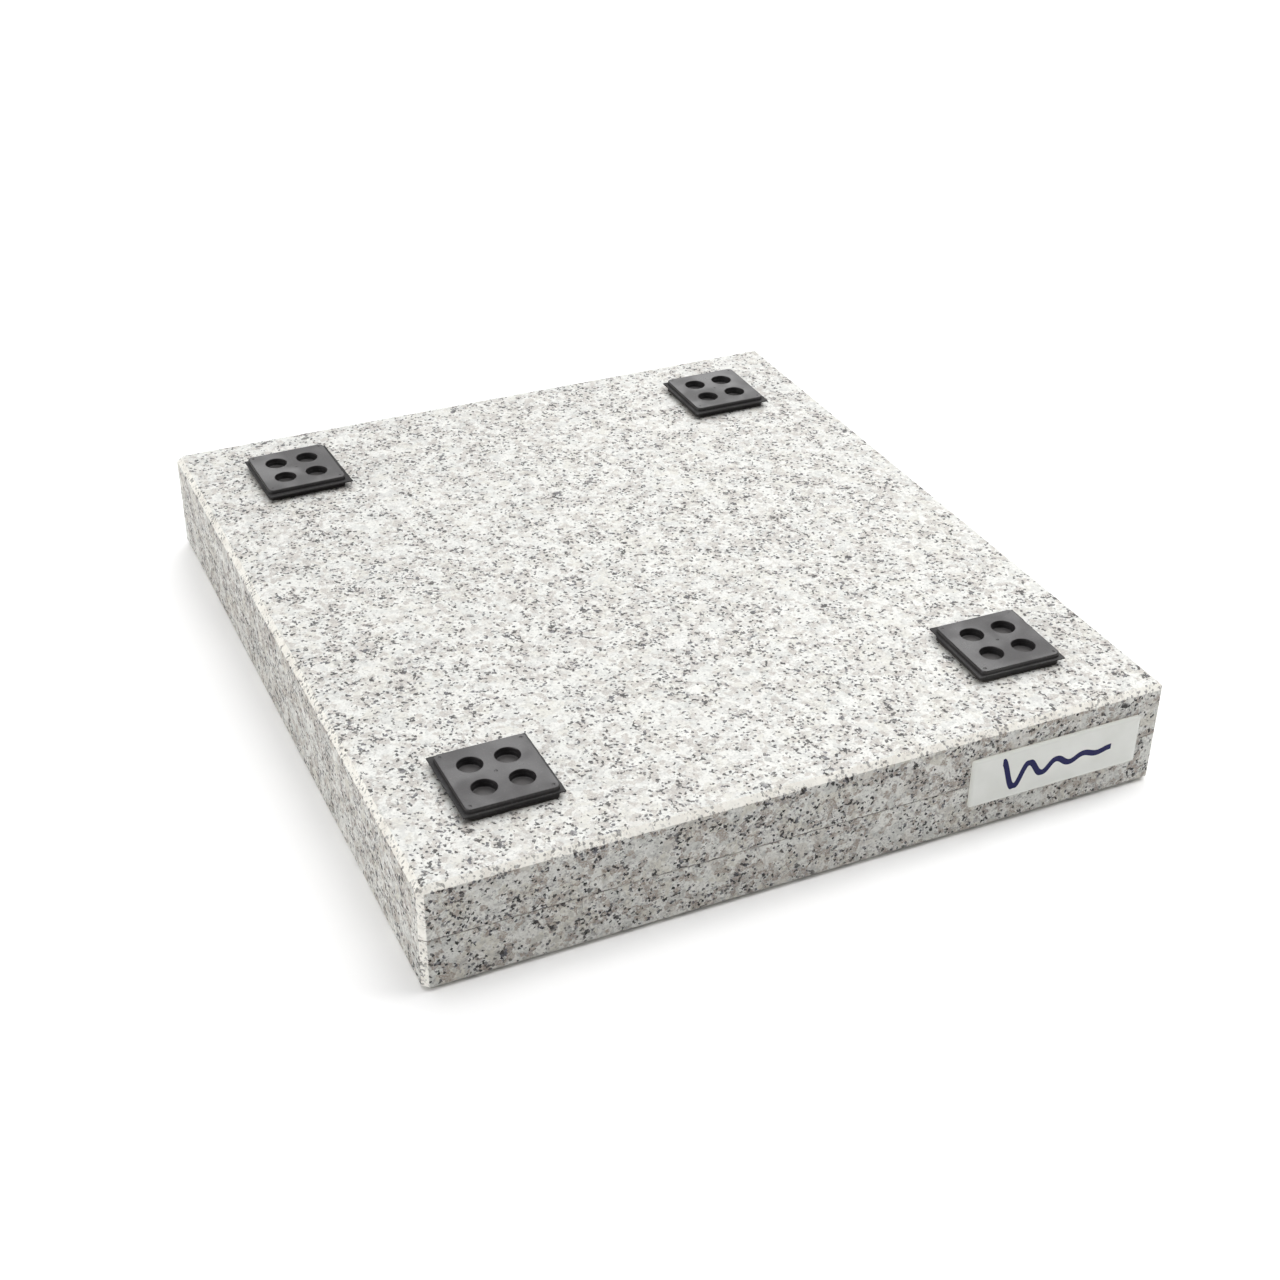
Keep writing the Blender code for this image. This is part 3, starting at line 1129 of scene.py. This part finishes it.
# ------------------------------------------------------------------ edge label
def label_layer(name, rows, material, node):
    """A layer from (height, inset) rows, standing out from the -Y edge face."""
    low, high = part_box("label_dome")
    middle = Vector(((low.x + high.x) / 2, -SLAB_HALF_DEPTH, (low.z + high.z) / 2))
    rings = [
        level(
            rounded_outline(
                LABEL_WIDTH - 2 * inset, LABEL_HEIGHT - 2 * inset,
                max(LABEL_CORNER_RADIUS - inset * 0.3, 0.3 * MM), 24,
            ),
            height,
        )
        for height, inset in rows
    ]
    mesh = loft(rings)
    place = Matrix.Translation(middle) @ Matrix.Rotation(math.pi / 2, 4, "X")
    bmesh.ops.transform(mesh, matrix=place, verts=mesh.verts)
    item = add_object(name, as_mesh(mesh, name, 50.0), material)
    fit_to_frame(item, node)


def edge_label():
    """The label's adhesive, its printed film and its domed resin."""
    label_layer(
        "adhesive_layer", [(0.0, 0.05 * MM), (ADHESIVE_TOP, 0.0)],
        label_adhesive(), "label_adhesive_film",
    )
    label_layer(
        "printed_film", [(ADHESIVE_TOP, 0.0), (PRINT_TOP, 0.0)],
        label_print(), "label_print_film",
    )
    rows = [(PRINT_TOP, 0.0), (DOME_WALL_TOP, 0.0)]
    for step in range(1, 11):
        run = step / 10
        height = DOME_WALL_TOP + (DOME_TOP - DOME_WALL_TOP) * (1 - (1 - run) ** 3)
        rows.append((height, DOME_SHOULDER * run ** 1.6))
    label_layer("resin_dome", rows, label_resin(), "label_dome")


# --------------------------------------------------------- studio and camera
def studio_floor():
    """A matt white floor that reaches past the edge of the view."""
    mesh = bmesh.new()
    bmesh.ops.create_grid(mesh, x_segments=1, y_segments=1, size=FLOOR_REACH)
    data = bpy.data.meshes.new("studio_floor")
    mesh.to_mesh(data)
    mesh.free()
    material, start = new_finish("studio_floor_white")
    close_finish(start, {
        "Base Color": paint(0.96, 0.96, 0.96), "Roughness": 0.9, "Specular IOR Level": 0.1,
    })
    floor = add_object("studio_floor", data, material)


def far_softbox(name, direction, strength, spread_degrees):
    """A broad softbox, far enough away to light the whole floor evenly."""
    lamp = bpy.data.lights.new(name, "SUN")
    lamp.energy = strength
    lamp.angle = math.radians(spread_degrees)
    item = bpy.data.objects.new(name, lamp)
    item.rotation_euler = (Vector(direction) * -1).to_track_quat("-Z", "Y").to_euler()
    bpy.context.scene.collection.objects.link(item)


def key_softbox():
    """A square softbox over the label's end, near enough to fade across the slab."""
    lamp = bpy.data.lights.new("key_softbox", "AREA")
    lamp.size = KEY_SIDE
    lamp.energy = KEY_WATTS
    item = bpy.data.objects.new("key_softbox", lamp)
    aim = (-KEY_PLACE).to_track_quat("-Z", "Y").to_matrix().to_4x4()
    item.matrix_world = Matrix.Translation(KEY_PLACE) @ aim
    bpy.context.scene.collection.objects.link(item)


def studio_light():
    """Soft light from above, behind and beside, in a white room."""
    for name, setting in FAR_SOFTBOXES.items():
        far_softbox(name, *setting)
    key_softbox()
    world = bpy.data.worlds.new("studio")
    world.use_nodes = True
    world.node_tree.nodes.clear()
    start = Wire(world.node_tree)
    room = start.node("ShaderNodeBackground", inputs={
        "Color": paint(1.0, 1.0, 1.0), "Strength": ROOM_STRENGTH,
    })
    backdrop = start.node("ShaderNodeBackground", inputs={
        "Color": paint(1.0, 1.0, 1.0), "Strength": BACKDROP_STRENGTH,
    })
    seen = start.node("ShaderNodeLightPath", output="Is Camera Ray")
    mixed = start.node("ShaderNodeMixShader", inputs={0: seen, 1: room, 2: backdrop})
    start.node("ShaderNodeOutputWorld", inputs={"Surface": mixed})
    bpy.context.scene.world = world
    bpy.context.scene.view_settings.view_transform = "Standard"


def camera():
    """A normal lens out beyond the labelled edge and to its left, looking down."""
    lens = bpy.data.cameras.new("camera")
    lens.lens = CAMERA_LENS_MM
    lens.sensor_width = CAMERA_SENSOR_MM
    item = bpy.data.objects.new("camera", lens)
    aim = (CAMERA_TARGET - CAMERA_PLACE).to_track_quat("-Z", "Y").to_matrix().to_4x4()
    item.matrix_world = (
        Matrix.Translation(CAMERA_PLACE) @ aim @ Matrix.Rotation(CAMERA_ROLL, 4, "Z")
    )
    bpy.context.scene.collection.objects.link(item)
    bpy.context.scene.camera = item


camera()
studio_floor()
studio_light()
granite_plates()
joint_epoxy()
rubber_feet()
edge_label()
